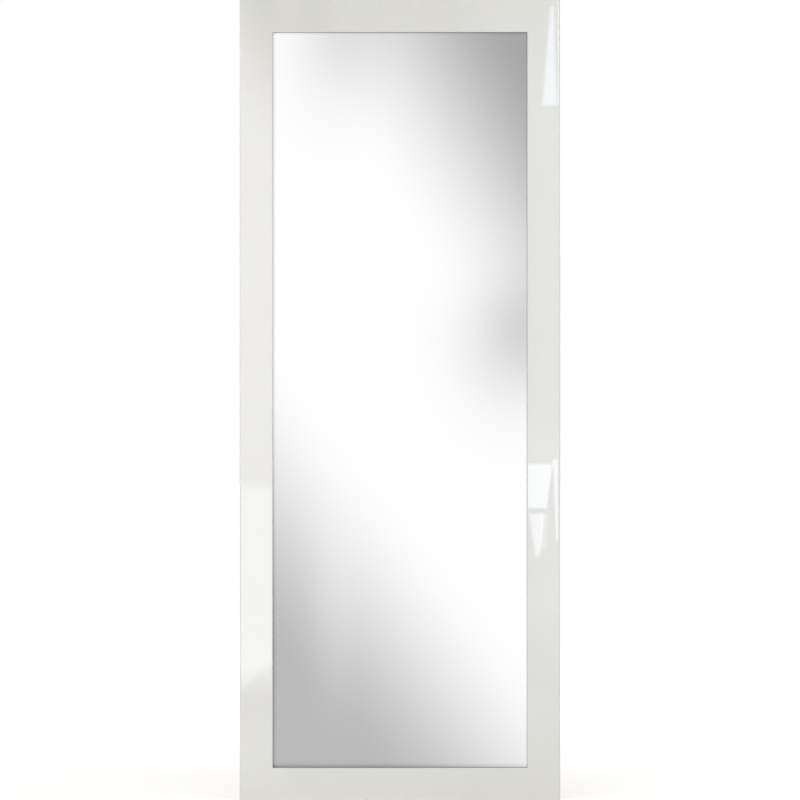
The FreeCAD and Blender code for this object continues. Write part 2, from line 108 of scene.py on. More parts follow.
def add_node(
    tree: bpy.types.NodeTree,
    kind: str,
    settings: dict[str | int, object] | None = None,
    links: dict[str | int, bpy.types.NodeSocket] | None = None,
) -> bpy.types.Node:
    """Adds a shader node with its settings and links.

    Args:
        tree: The node tree to add to.
        kind: The node's type name, without the ShaderNode that they all start with.
        settings: Values by input socket or, for names that aren't sockets, by property.
        links: Output sockets by the input that each goes to.

    Returns:
        The new node.
    """
    node = tree.nodes.new(f"ShaderNode{kind}")
    properties = {k: v for k, v in (settings or {}).items() if isinstance(k, str) and k not in node.inputs}
    for name, value in properties.items():
        setattr(node, name, value)
    for key, value in (settings or {}).items():
        if key not in properties:
            node.inputs[key].default_value = value
    for key, output in (links or {}).items():
        tree.links.new(output, node.inputs[key])
    return node


def seen(tree: bpy.types.NodeTree) -> bpy.types.NodeSocket:
    """Tells rays that look at the room from rays that only carry its light.

    Args:
        tree: The node tree to add to.

    Returns:
        A socket that is 1 for rays from the camera, and for those that gloss and clear things send on.
    """
    ray = add_node(tree, "LightPath").outputs
    largest = {"operation": "MAXIMUM"}
    mirrored = add_node(tree, "Math", largest, {0: ray["Is Camera Ray"], 1: ray["Is Glossy Ray"]})
    shown = add_node(tree, "Math", largest, {0: mirrored.outputs["Value"], 1: ray["Is Transmission Ray"]})
    return shown.outputs["Value"]


@dataclass(frozen=True)
class Finish:
    """A surface finish, named for its material and for how the surface was made."""

    name: str

    def material(self) -> bpy.types.Material:
        """Makes the finish's material the first time, and finds it again after that.

        Returns:
            The material.
        """
        made = bpy.data.materials.get(self.name)
        if made is None:
            made = bpy.data.materials.new(self.name)
            made.use_nodes = True
            made.node_tree.nodes.clear()
            add_node(made.node_tree, "OutputMaterial", links={"Surface": self.surface(made.node_tree)})
        return made

    def surface(self, tree: bpy.types.NodeTree) -> bpy.types.NodeSocket:
        """Lays the finish's nodes.

        Args:
            tree: The material's empty node tree.

        Returns:
            The shader socket for the material's surface.
        """
        raise NotImplementedError


@dataclass(frozen=True)
class Pattern:
    """A finish's pattern: its tone from pale to deep, its height, and what else of the shader it drives."""

    tone: bpy.types.NodeSocket
    height: bpy.types.NodeSocket
    driven: dict[str, bpy.types.NodeSocket] = field(default_factory=dict)


@dataclass(frozen=True)
class TonedFinish(Finish):
    """A finish that goes from a pale colour to a deep one, over a fine relief."""

    pale: str = "#FFFFFF"
    deep: str = "#FFFFFF"
    roughness: float = 0.5
    index: float = 1.5
    specular: float = 0.5
    metallic: float = 0.0
    relief_mm: float = 0.05
    relief_share: float = 0.2

    def pattern(self, tree: bpy.types.NodeTree, place: bpy.types.NodeSocket) -> Pattern:
        """Lays the finish's own pattern.

        Args:
            tree: The material's node tree.
            place: The socket that says where a point of the surface is, in metres.

        Returns:
            The pattern's sockets.
        """
        raise NotImplementedError

    def colour(
        self, tree: bpy.types.NodeTree, place: bpy.types.NodeSocket, tone: bpy.types.NodeSocket
    ) -> bpy.types.NodeSocket:
        """Mixes the finish's colour.

        Args:
            tree: The material's node tree.
            place: The socket that says where a point of the surface is, in metres.
            tone: The pattern's tone, from 0 for pale to 1 for deep.

        Returns:
            The colour's socket.
        """
        ends = {MIX_FIRST: linear(self.pale), MIX_SECOND: linear(self.deep)}
        return add_node(tree, "Mix", {"data_type": "RGBA", **ends}, {0: tone}).outputs[MIX_RESULT]

    def surface(self, tree: bpy.types.NodeTree) -> bpy.types.NodeSocket:
        """Lays the pattern and shades it.

        Args:
            tree: The material's empty node tree.

        Returns:
            The shader socket for the material's surface.
        """
        place = add_node(tree, "TexCoord").outputs["Object"]
        pattern = self.pattern(tree, place)
        depth = {"Strength": self.relief_share, "Distance": self.relief_mm * MM}
        relief = add_node(tree, "Bump", depth, {"Height": pattern.height})
        gloss = {"Roughness": self.roughness, "IOR": self.index, "Specular IOR Level": self.specular}
        look = {"Base Color": self.colour(tree, place, pattern.tone), "Normal": relief.outputs["Normal"]}
        shader = add_node(
            tree, "BsdfPrincipled", {"Metallic": self.metallic, **gloss}, {**look, **pattern.driven}
        )
        return shader.outputs["BSDF"]


@dataclass(frozen=True)
class GlossFoil(TonedFinish):
    """Polyester foil, wrapped hot over fibreboard."""

    # The hot roll leaves the foil almost flat: a warm white in which lights show with crisp edges, softened a
    # little by the orange peel of the core under it.
    pale: str = "#EAE9E5"
    deep: str = "#E6E5E1"
    roughness: float = 0.055
    index: float = 1.64
    relief_mm: float = 0.02
    relief_share: float = 0.03
    cloud_mm: float = 90.0
    peel_mm: float = 5.0

    def pattern(self, tree: bpy.types.NodeTree, place: bpy.types.NodeSocket) -> Pattern:
        """Lays a barely clouded tone and a slight ripple.

        Args:
            tree: The material's node tree.
            place: The socket that says where a point of the surface is, in metres.

        Returns:
            The pattern's sockets.
        """
        clouded = {"Scale": per_metre(self.cloud_mm), "Detail": 2.0}
        cloud = add_node(tree, "TexNoise", clouded, {"Vector": place})
        rippled = {"Scale": per_metre(self.peel_mm), "Detail": 1.0}
        peel = add_node(tree, "TexNoise", rippled, {"Vector": place})
        return Pattern(cloud.outputs["Fac"], peel.outputs["Fac"])


@dataclass(frozen=True)
class SandedFibreboard(TonedFinish):
    """Medium-density fibreboard, sanded."""

    # Sanding leaves a dull, even tan, felted from short fibres and flecked with darker bits of bark. The
    # fibres are about 0.1 mm wide, too fine to show, so they are drawn as coarser tufts.
    pale: str = "#BDA27C"
    deep: str = "#A88A63"
    speck: str = "#7C6143"
    roughness: float = 0.82
    index: float = 1.45
    specular: float = 0.3
    relief_mm: float = 0.12
    relief_share: float = 0.35
    tuft_mm: float = 1.6
    tuft_share: float = 0.55
    drift_mm: float = 70.0
    speck_mm: float = 3.0

    def pattern(self, tree: bpy.types.NodeTree, place: bpy.types.NodeSocket) -> Pattern:
        """Lays felted tufts over a slow drift of tone.

        Args:
            tree: The material's node tree.
            place: The socket that says where a point of the surface is, in metres.

        Returns:
            The pattern's sockets.
        """
        felted = {"Scale": per_metre(self.tuft_mm), "Detail": 5.0, "Roughness": 0.65, "Distortion": 0.6}
        tufts = add_node(tree, "TexNoise", felted, {"Vector": place}).outputs["Fac"]
        drifting = {"Scale": per_metre(self.drift_mm), "Detail": 3.0}
        drift = add_node(tree, "TexNoise", drifting, {"Vector": place})
        part = add_node(tree, "Math", {"operation": "MULTIPLY", 1: self.tuft_share}, {0: tufts})
        tone = add_node(
            tree,
            "Math",
            {"operation": "MULTIPLY_ADD", 1: 1 - self.tuft_share, "use_clamp": True},
            {0: drift.outputs["Fac"], 2: part.outputs["Value"]},
        )
        return Pattern(tone.outputs["Value"], tufts)

    def colour(
        self, tree: bpy.types.NodeTree, place: bpy.types.NodeSocket, tone: bpy.types.NodeSocket
    ) -> bpy.types.NodeSocket:
        """Scatters dark specks of bark over the board's colour.

        Args:
            tree: The material's node tree.
            place: The socket that says where a point of the surface is, in metres.
            tone: The pattern's tone, from 0 for pale to 1 for deep.

        Returns:
            The colour's socket.
        """
        cells = add_node(tree, "TexVoronoi", {"Scale": per_metre(self.speck_mm)}, {"Vector": place})
        bark = add_node(
            tree,
            "MapRange",
            {"From Min": 0.06, "From Max": 0.14, "To Min": 0.55, "To Max": 0.0},
            {"Value": cells.outputs["Distance"]},
        )
        flecked = add_node(
            tree,
            "Mix",
            {"data_type": "RGBA", MIX_SECOND: linear(self.speck)},
            {0: bark.outputs["Result"], MIX_FIRST: super().colour(tree, place, tone)},
        )
        return flecked.outputs[MIX_RESULT]


@dataclass(frozen=True)
class SilveredGlass(Finish):
    """Float glass, silvered on its back."""

    # Floating leaves the glass flat, and silvering makes it a clean, almost colourless mirror. All that the
    # eye finds on it is a trace of haze from wiping.
    silver: str = "#F8F8F8"
    haze_mm: float = 140.0
    clear: float = 0.004
    hazed: float = 0.02

    def surface(self, tree: bpy.types.NodeTree) -> bpy.types.NodeSocket:
        """Lays a silver mirror whose haze varies slightly across the pane.

        Args:
            tree: The material's empty node tree.

        Returns:
            The shader socket for the material's surface.
        """
        place = add_node(tree, "TexCoord").outputs["Object"]
        streaked = {"Scale": per_metre(self.haze_mm), "Detail": 3.0, "Distortion": 1.2}
        wipe = add_node(tree, "TexNoise", streaked, {"Vector": place})
        haze = add_node(
            tree,
            "MapRange",
            {"From Min": 0.35, "From Max": 0.75, "To Min": self.clear, "To Max": self.hazed},
            {"Value": wipe.outputs["Fac"]},
        )
        mirror = add_node(
            tree,
            "BsdfPrincipled",
            {"Base Color": linear(self.silver), "Metallic": 1.0},
            {"Roughness": haze.outputs["Result"]},
        )
        return mirror.outputs["BSDF"]


@dataclass(frozen=True)
class ZincPlate(TonedFinish):
    """Pressed steel, bright zinc plated."""

    # The plating gives a cool satin grey that clouds a little, over the grain of the pickled sheet. That
    # grain is under 0.1 mm, too fine to show, so it is drawn coarser.
    pale: str = "#CDD0D3"
    deep: str = "#A9ADB2"
    metallic: float = 1.0
    relief_mm: float = 0.03
    relief_share: float = 0.12
    smooth: float = 0.26
    rough: float = 0.42
    cloud_mm: float = 9.0
    grain_mm: float = 0.5

    def pattern(self, tree: bpy.types.NodeTree, place: bpy.types.NodeSocket) -> Pattern:
        """Lays clouds that dull the plating where they deepen it, and a fine pickled grain.

        Args:
            tree: The material's node tree.
            place: The socket that says where a point of the surface is, in metres.

        Returns:
            The pattern's sockets.
        """
        clouded = {"Scale": per_metre(self.cloud_mm), "Detail": 4.0, "Roughness": 0.6}
        cloud = add_node(tree, "TexNoise", clouded, {"Vector": place}).outputs["Fac"]
        pickled = {"Scale": per_metre(self.grain_mm), "Detail": 2.0}
        grain = add_node(tree, "TexNoise", pickled, {"Vector": place})
        satin = add_node(
            tree,
            "MapRange",
            {"From Min": 0.3, "From Max": 0.7, "To Min": self.smooth, "To Max": self.rough},
            {"Value": cloud},
        )
        return Pattern(cloud, grain.outputs["Fac"], {"Roughness": satin.outputs["Result"]})


@dataclass(frozen=True)
class PressedHardboard(TonedFinish):
    """Hardboard, pressed from wood fibre, smooth face out."""

    # The hot press leaves a brown, faintly marbled face with a slight sheen, in which fibres lie along the
    # sheet. They are about 0.1 mm wide, too fine to show, so they are drawn as coarser strands.
    pale: str = "#A2805A"
    deep: str = "#83633F"
    roughness: float = 0.58
    index: float = 1.48
    relief_mm: float = 0.06
    strand_mm: float = 1.2
    strand_share: float = 0.6
    strand_squeeze: float = 0.16
    marble_mm: float = 45.0

    def pattern(self, tree: bpy.types.NodeTree, place: bpy.types.NodeSocket) -> Pattern:
        """Lays marbling under strands drawn out along the sheet.

        Args:
            tree: The material's node tree.
            place: The socket that says where a point of the surface is, in metres.

        Returns:
            The pattern's sockets.
        """
        drawn = add_node(tree, "Mapping", {"Scale": (1.0, 1.0, self.strand_squeeze)}, {"Vector": place})
        fibrous = {"Scale": per_metre(self.strand_mm), "Detail": 4.0, "Roughness": 0.7, "Distortion": 1.0}
        strands = add_node(tree, "TexNoise", fibrous, {"Vector": drawn.outputs["Vector"]}).outputs["Fac"]
        marbled = {"Scale": per_metre(self.marble_mm), "Detail": 5.0, "Distortion": 0.8}
        marble = add_node(tree, "TexNoise", marbled, {"Vector": place})
        part = add_node(tree, "Math", {"operation": "MULTIPLY", 1: self.strand_share}, {0: strands})
        tone = add_node(
            tree,
            "Math",
            {"operation": "MULTIPLY_ADD", 1: 1 - self.strand_share, "use_clamp": True},
            {0: marble.outputs["Fac"], 2: part.outputs["Value"]},
        )
        return Pattern(tone.outputs["Value"], strands)


@dataclass(frozen=True)
class FlutedCard(TonedFinish):
    """Corrugated card, glued up from kraft paper."""

    # Gluing the liner to the flutes leaves matt brown paper on which they show as soft stripes.
    pale: str = "#B8946A"
    deep: str = "#A07C54"
    roughness: float = 0.9
    relief_mm: float = 0.2
    flute_mm: float = 8.0

    def pattern(self, tree: bpy.types.NodeTree, place: bpy.types.NodeSocket) -> Pattern:
        """Lays stripes at the flutes' spacing.

        Args:
            tree: The material's node tree.
            place: The socket that says where a point of the surface is, in metres.

        Returns:
            The pattern's sockets.
        """
        # At a scale of 1, a wave texture repeats every pi / 10 units.
        scale = per_metre(self.flute_mm) * math.pi / 10
        striped = {"bands_direction": "X", "Scale": scale, "Distortion": 0.3}
        flutes = add_node(tree, "TexWave", striped, {"Vector": place}).outputs["Fac"]
        return Pattern(flutes, flutes)


@dataclass(frozen=True)
class GrainedPlastic(TonedFinish):
    """A soft polymer with a moulded or foamed skin."""

    # The mould or the foam leaves a matt skin with an even grain, slightly mottled. The grain is 0.1 to
    # 0.3 mm, too fine to show, so it is drawn coarser.
    relief_share: float = 0.3
    grain_mm: float = 0.8
    mottle_mm: float = 12.0

    def pattern(self, tree: bpy.types.NodeTree, place: bpy.types.NodeSocket) -> Pattern:
        """Lays mottling and a fine grain.

        Args:
            tree: The material's node tree.
            place: The socket that says where a point of the surface is, in metres.

        Returns:
            The pattern's sockets.
        """
        mottled = {"Scale": per_metre(self.mottle_mm), "Detail": 3.0}
        mottle = add_node(tree, "TexNoise", mottled, {"Vector": place})
        grained = {"Scale": per_metre(self.grain_mm), "Detail": 2.0}
        grain = add_node(tree, "TexNoise", grained, {"Vector": place})
        return Pattern(mottle.outputs["Fac"], grain.outputs["Fac"])


@dataclass(frozen=True)
class FloorPaint(Finish):
    """Matt floor paint, rolled on."""

    # Rolling leaves an even, dull off-white. It also glows to what looks at it, more so away from the mirror,
    # so that the floor reads as white and keeps the mirror's shadow.
    white: str = "#F4F4F2"
    glow_reach: Pair = (500.0, 3000.0)
    glow_level: Pair = (0.36, 0.6)

    def surface(self, tree: bpy.types.NodeTree) -> bpy.types.NodeSocket:
        """Lays plain paint, and the glow that grows with the distance from the mirror.

        Args:
            tree: The material's empty node tree.

        Returns:
            The shader socket for the material's surface.
        """
        place = add_node(tree, "TexCoord").outputs["Object"]
        away = add_node(tree, "VectorMath", {"operation": "LENGTH"}, {0: place}).outputs["Value"]
        near, far = (reach * MM for reach in self.glow_reach)
        least, most = self.glow_level
        ends = {"From Min": near, "From Max": far, "To Min": least, "To Max": most}
        fade = add_node(tree, "MapRange", {"interpolation_type": "SMOOTHSTEP", **ends}, {"Value": away})
        lift = add_node(tree, "Math", {"operation": "MULTIPLY"}, {0: seen(tree), 1: fade.outputs["Result"]})
        matt = add_node(tree, "BsdfDiffuse", {"Color": linear(self.white)})
        glow = add_node(tree, "Emission", links={"Strength": lift.outputs["Value"]})
        both = add_node(tree, "AddShader", links={0: matt.outputs["BSDF"], 1: glow.outputs["Emission"]})
        return both.outputs["Shader"]


@dataclass(frozen=True)
class LitPaper(Finish):
    """Paper of a light card, lit from behind."""

    # All that a reflection finds of it is its glow, which the mesh holds point by point.
    attribute: str = "glow"

    def surface(self, tree: bpy.types.NodeTree) -> bpy.types.NodeSocket:
        """Lays the glow alone.

        Args:
            tree: The material's empty node tree.

        Returns:
            The shader socket for the material's surface.
        """
        glow = add_node(tree, "Attribute", {"attribute_name": self.attribute})
        return add_node(tree, "Emission", links={"Color": glow.outputs["Color"]}).outputs["Emission"]


class Finishes(Enum):
    """The finishes on this mirror."""

    FOIL = GlossFoil("gloss_polyester_foil")
    FIBREBOARD = SandedFibreboard("sanded_fibreboard")
    MIRROR = SilveredGlass("silvered_float_glass")
    ZINC = ZincPlate("zinc_plated_pressed_steel")
    HARDBOARD = PressedHardboard("pressed_hardboard")
    CARD = FlutedCard("corrugated_kraft_card")
    # Foamed and slit: charcoal, and quite dull. Its dark edge at the glass is partly painted shade: the
    # charcoal stands in for the shadowed gap round the pane.
    FOAM = GrainedPlastic("closed_cell_foam_tape", "#48484A", "#3E3E40", 0.85)
    # Rolled on to a woven carrier: pale grey with a low sheen.
    FILM = GrainedPlastic("woven_backed_vinyl_film", "#D5D8DA", "#C4C8CB", 0.45, grain_mm=1.0)
    # Moulded in a grained tool: near black, and a little slick.
    PACKER = GrainedPlastic("moulded_polypropylene_packer", "#3A3B3D", "#2F3032", 0.5, grain_mm=0.6)
    # Moulded and cured: a soft black with hardly any shine.
    RUBBER = GrainedPlastic("moulded_black_rubber", "#333335", "#29292B", 0.68, relief_mm=0.08, grain_mm=0.7)

    def dress(self, *nodes: str) -> None:
        """Puts this finish on CAD nodes, in place of the plain one that they were loaded with.

        Args:
            *nodes: Names of the CAD nodes.
        """
        for name in nodes:
            slots = frame["nodes"][name].data.materials
            slots.clear()
            slots.append(self.value.material())
            LOG.info("dressed %s in %s", name, self.value.name)


class Slot(Enum):
    """The record's material slots."""

    FOIL = "gloss_white_foil"
    GLASS = "silvered_glass"
    ZINC = "zinc_plated_steel"
    HARDBOARD = "hardboard"
    CARD = "corrugated_card"
    TAPE = "foam_tape"
    FILM = "vinyl_film"
    PACKER = "packer_plastic"
    RUBBER = "black_rubber"

    def nodes(self) -> list[str]:
        """Gives the names of the CAD nodes in this slot."""
        return [part["node"] for part in frame["record"]["subparts"] if part["material_slot"] == self.value]


def new_piece(name: str, mesh: bpy.types.Mesh, slot: Slot, *replaced: str) -> None:
    """Puts a finished mesh in the scene as a piece that rides on the frame.

    Args:
        name: The piece's name.
        mesh: Its mesh, in metres in the model's frame.
        slot: The material slot that it belongs to. Not used.
        *replaced: CAD nodes that it stands for.
    """
    piece = bpy.data.objects.new(name, mesh)
    bpy.context.scene.collection.objects.link(piece)
    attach(piece, FRAME_BODY)
    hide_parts(*replaced)
    LOG.info("built %s: %d faces", name, len(mesh.polygons))


@dataclass(frozen=True)
class Corner:
    """A corner of a rail's section.

    It says how far in from the frame's edge and how deep it is, the finish of its rounding and of the flat
    after it, its radius, and the steps that round it.
    """

    inward: float
    depth: float
    finish: Finishes
    radius: float = 0.0
    steps: int = 0


@dataclass(frozen=True)
class Facet:
    """A strip of a rail's surface: both ends as (inward, depth), the normals there and the finish on it."""

    start: Pair
    end: Pair
    start_normal: Pair
    end_normal: Pair
    finish: Finishes


@dataclass
class MitredFrame:
    """The four rails, wrapped in foil on all that shows from the front and bare fibreboard behind."""

    lip_depth: float = 11.0
    outer_radius: float = 5.0
    sight_radius: float = 1.5
    back_radius: float = 1.0
    foil_return: float = 8.0
    mitre_gap: float = 0.03

    def section(self) -> list[Facet]:
        """Works out the rail's surface strips, going from the front face round to the outer edge.

        Returns:
            The strips in order, with exact normals, so that the flats reflect as flats.
        """
        foil, bare = Finishes.FOIL, Finishes.FIBREBOARD
        back = BACK_Y - FRONT_Y
        corners = [
            Corner(0, 0, foil, self.outer_radius, steps=10),
            Corner(RAIL_WIDTH, 0, foil, self.sight_radius, steps=6),
            Corner(RAIL_WIDTH, self.lip_depth, bare),
            Corner(REBATE_WALL, self.lip_depth, bare),
            Corner(REBATE_WALL, back, bare, self.back_radius, steps=4),
            Corner(self.foil_return, back, foil),
            Corner(0, back, foil, self.back_radius, steps=4),
        ]
        facets: list[Facet] = []
        for i, corner in enumerate(corners):
            before, after = corners[i - 1], corners[(i + 1) % len(corners)]
            normal_in = self.outward(before, corner)
            normal_out = self.outward(corner, after)
            arc = self.arc(corner, normal_in, normal_out)
            for (start, n0), (end, n1) in zip(arc, arc[1:]):
                facets.append(Facet(start, end, n0, n1, corner.finish))
            flat_end = self.arc(after, normal_out, normal_out)[0][0]
            facets.append(Facet(arc[-1][0], flat_end, normal_out, normal_out, corner.finish))
        return facets

    @staticmethod
    def outward(start: Corner, end: Corner) -> Pair:
        """Gives the outward normal, as (inward, depth), of the side from one corner to the next."""
        along = Vector((end.inward - start.inward, end.depth - start.depth)).normalized()
        return along.y, -along.x

    @staticmethod
    def arc(corner: Corner, normal_in: Pair, normal_out: Pair) -> list[tuple[Pair, Pair]]:
        """Rounds a corner.

        Args:
            corner: The corner, square in section.
            normal_in: Outward normal of the side before it.
            normal_out: The same of the side after it, or normal_in again for the arc's first point alone.

        Returns:
            Points of the arc with their normals, or the corner itself where it has no radius.
        """
        n0, n1 = Vector(normal_in), Vector(normal_out)
        point = Vector((corner.inward, corner.depth))
        if n0 == n1:
            along = Vector((-n0.y, n0.x))
            return [(tuple(point - along * corner.radius), normal_in)]
        if corner.radius == 0:
            return [(tuple(point), normal_out)]
        centre = point - (n0 + n1) * corner.radius
        turned = []
        for step in range(corner.steps + 1):
            angle = math.pi / 2 * step / corner.steps
            normal = n0 * math.cos(angle) + n1 * math.sin(angle)
            turned.append((tuple(centre + normal * corner.radius), tuple(normal)))
        return turned

    def rail_mesh(self, name: str, length: float, place: Matrix) -> bpy.types.Mesh:
        """Runs the section along one rail and cuts its ends to the mitres.

        Args:
            name: The mesh's name.
            length: The rail's outer length.
            place: The rail's frame: X along it, Y from front to back, Z from its outer edge inward.

        Returns:
            A closed mesh with the section's own normals.
        """
        facets = self.section()
        count = len(facets)
        ring = [facet.start for facet in facets]
        reach = length / 2 - self.mitre_gap
        ends = [(end * (reach - inward), depth, inward) for end in SIDES for inward, depth in ring]
        faces = [[i, count + i, count + (i + 1) % count, (i + 1) % count] for i in range(count)]
        faces += [list(range(count)), list(range(2 * count - 1, count - 1, -1))]
        mesh = bpy.data.meshes.new(name)
        mesh.from_pydata([place @ (Vector(point) * MM) for point in ends], [], faces)
        finishes = [Finishes.FOIL, Finishes.FIBREBOARD]
        for finish in finishes:
            mesh.materials.append(finish.value.material())
        turn = place.to_3x3()
        mitre = math.sqrt(0.5)
        normals: list[Vector] = []
        for facet in facets:
            first = turn @ Vector((0, facet.start_normal[1], facet.start_normal[0]))
            second = turn @ Vector((0, facet.end_normal[1], facet.end_normal[0]))
            normals += [first, first, second, second]
        normals += [turn @ Vector((-mitre, 0, mitre))] * count + [turn @ Vector((mitre, 0, mitre))] * count
        for polygon, facet in zip(mesh.polygons, facets):
            polygon.material_index = finishes.index(facet.finish)
        for polygon in mesh.polygons[count:]:
            polygon.material_index = finishes.index(Finishes.FIBREBOARD)
        mesh.polygons.foreach_set("use_smooth", [True] * len(mesh.polygons))
        mesh.normals_split_custom_set(normals)
        return mesh

    def build(self) -> None:
        """Makes the four rails in place of their solids."""
        sides = {
            "rail_bottom": (FRAME_WIDTH, 0, (0, FRAME_BOTTOM)),
            "rail_left": (FRAME_HEIGHT, 90, (-FRAME_WIDTH / 2, FRAME_MIDDLE)),
            "rail_top": (FRAME_WIDTH, 180, (0, FRAME_BOTTOM + FRAME_HEIGHT)),
            "rail_right": (FRAME_HEIGHT, -90, (FRAME_WIDTH / 2, FRAME_MIDDLE)),
        }
        for name, (length, turn, (x, z)) in sides.items():
            middle = Matrix.Translation(Vector((x, FRONT_Y, z)) * MM)
            place = middle @ Matrix.Rotation(math.radians(turn), 4, "Y")
            mesh = self.rail_mesh(f"{name}_wrapped", length, place)
            new_piece(f"{name}_wrapped", mesh, Slot.FOIL, name)


@dataclass
class WoodScrews:
    """The pan-head cross-recess screws, all of one size, in the groups that they fasten."""

    head_diameter: float = 7.0
    head_height: float = 2.4
    head_radius: float = 1.6
    crown: float = 0.12
    crown_shares: Point = (0.0, 0.35, 0.7)
    shank_diameter: float = 3.5
    length: float = 16.0
    point: float = 4.0
    segments: int = 40
    edge_steps: int = 8
    sharp_deg: float = 32.0
    # The recess tapers from its mouth to its floor, in shares of its span.
    recess_span: float = 4.0
    recess_slot: float = 1.0
    recess_depth: float = 1.6
    recess_mouth: float = 1.15
    recess_floor: float = 0.45
    cutter_rise: float = 0.5
    # Where each group's holes are, and how high its heads stand off the rails' back.
    brace_line: float = 24.0
    brace_holes: Pair = (44.0, 80.0)
    brace_lift: float = 1.5
    buttons_upright: int = 4
    buttons_across: int = 2
    pivot_inset: float = 12.0
    button_lift: float = 1.8
    hanger_rise: float = FRAME_HEIGHT / 4
    strap_drops: Pair = (26.0, 40.0)
    strap_lift: float = 1.2
    bumper_insets: Pair = (112.0, 18.0)
    bumper_lift: float = 3.0
    # No two neighbouring screws stop at the same angle.
    first_turn_deg: float = 13.0
    next_turn_deg: float = 47.0

    def outline(self) -> list[Pair]:
        """Works out the screw's half section, from the crown of its head to its point.

        Returns:
            Points as (radius, height above the head's underside).
        """
        head = self.head_diameter / 2
        shoulder = head - self.head_radius
        crown = [(shoulder * share, self.head_height - self.crown * share**2) for share in self.crown_shares]
        edge = []
        for step in range(self.edge_steps + 1):
            angle = math.pi / 2 * (1 - step / self.edge_steps)
            fall = self.crown + self.head_radius * (1 - math.sin(angle))
            edge.append((shoulder + self.head_radius * math.cos(angle), self.head_height - fall))
        shank = self.shank_diameter / 2
        tail = [(shank, 0.0), (shank, self.point - self.length), (0.0, -self.length)]
        return crown + edge + [(head, 0.0)] + tail

    def turned(self) -> bpy.types.Mesh:
        """Turns the outline about +Y.

        Returns:
            The plain screw, in millimetres.
        """
        solid = bmesh.new()
        rings: list[list[bmesh.types.BMVert]] = []
        for radius, height in self.outline():
            if radius == 0:
                rings.append([solid.verts.new((0, height, 0))] * self.segments)
                continue
            angles = [2 * math.pi * i / self.segments for i in range(self.segments)]
            circle = [(radius * math.cos(a), height, radius * math.sin(a)) for a in angles]
            rings.append([solid.verts.new(point) for point in circle])
        for upper, lower in zip(rings, rings[1:]):
            for i in range(self.segments):
                j = (i + 1) % self.segments
                corners = list(dict.fromkeys([upper[i], upper[j], lower[j], lower[i]]))
                solid.faces.new(corners)
        bmesh.ops.recalc_face_normals(solid, faces=solid.faces)
        mesh = bpy.data.meshes.new("screw_blank")
        solid.to_mesh(mesh)
        solid.free()
        return mesh

    def recess(self) -> bpy.types.Mesh:
        """Makes the tapered cross that the driver leaves.

        Returns:
            The cross as a closed mesh, in millimetres, standing out of the head's top.
        """
        cutter = bmesh.new()
        mouth = (self.head_height + self.cutter_rise, self.recess_mouth)
        floor = (self.head_height - self.recess_depth, self.recess_floor)
        rings = []
        for height, share in (mouth, floor):
            far, near = self.recess_span * share / 2, self.recess_slot / 2
            arm = [(far, -near), (far, near), (near, near)]
            ring = []
            for _ in range(4):
                ring += [cutter.verts.new((x, height, z)) for x, z in arm]
                arm = [(-z, x) for x, z in arm]
            rings.append(ring)
        upper, lower = rings
        count = len(upper)
        for i in range(count):
            cutter.faces.new([upper[i], upper[(i + 1) % count], lower[(i + 1) % count], lower[i]])
        cutter.faces.new(upper)
        cutter.faces.new(lower[::-1])
        bmesh.ops.recalc_face_normals(cutter, faces=cutter.faces)
        mesh = bpy.data.meshes.new("screw_recess")
        cutter.to_mesh(mesh)
        cutter.free()
        return mesh

    def screw(self) -> bpy.types.Mesh:
        """Cuts the recess into a turned screw.

        Returns:
            One finished screw along +Y, in millimetres, its head's underside at the origin.
        """
        blank = bpy.data.objects.new("screw_blank", self.turned())
        tool = bpy.data.objects.new("screw_recess", self.recess())
        for part in (blank, tool):
            bpy.context.scene.collection.objects.link(part)
        cut = blank.modifiers.new("recess", "BOOLEAN")
        cut.operation, cut.solver, cut.object = "DIFFERENCE", "EXACT", tool
        graph = bpy.context.evaluated_depsgraph_get()
        mesh = bpy.data.meshes.new_from_object(blank.evaluated_get(graph))
        for part in (blank, tool):
            bpy.data.objects.remove(part)
        mesh.polygons.foreach_set("use_smooth", [True] * len(mesh.polygons))
        mesh.set_sharp_from_angle(angle=math.radians(self.sharp_deg))
        return mesh

    def places(self) -> dict[str, list[Point]]:
        """Works out where each group's heads sit.

        Returns:
            By CAD node, each screw's x, z above the frame's middle, and its head's lift off the rails' back.
        """
        half_x, half_z = FRAME_WIDTH / 2, FRAME_HEIGHT / 2
        holes = [(self.brace_line, hole) for hole in self.brace_holes]
        holes += [(hole, self.brace_line) for hole in self.brace_holes]
        pivot = REBATE_WALL - self.pivot_inset
        up = spread(self.buttons_upright, FRAME_HEIGHT)
        along = spread(self.buttons_across, FRAME_WIDTH)
        buttons = [(s * (half_x - pivot), z) for s in SIDES for z in up]
        buttons += [(x, s * (half_z - pivot)) for s in SIDES for x in along]
        strap = half_x - REBATE_WALL / 2
        straps = [(s * strap, self.hanger_rise - drop) for s in SIDES for drop in self.strap_drops]
        corners = [(sx, sz) for sx in SIDES for sz in SIDES]
        braces = [(sx * (half_x - x), sz * (half_z - z)) for sx, sz in corners for x, z in holes]
        in_x, in_z = self.bumper_insets
        bumpers = [(sx * (half_x - in_x), sz * (half_z - in_z)) for sx, sz in corners]
        return {
            "brace_screws": [(x, z, self.brace_lift) for x, z in braces],
            "turn_button_screws": [(x, z, self.button_lift) for x, z in buttons],
            "hanger_screws": [(x, z, self.strap_lift) for x, z in straps],
            "bumper_screws": [(x, z, self.bumper_lift) for x, z in bumpers],
        }

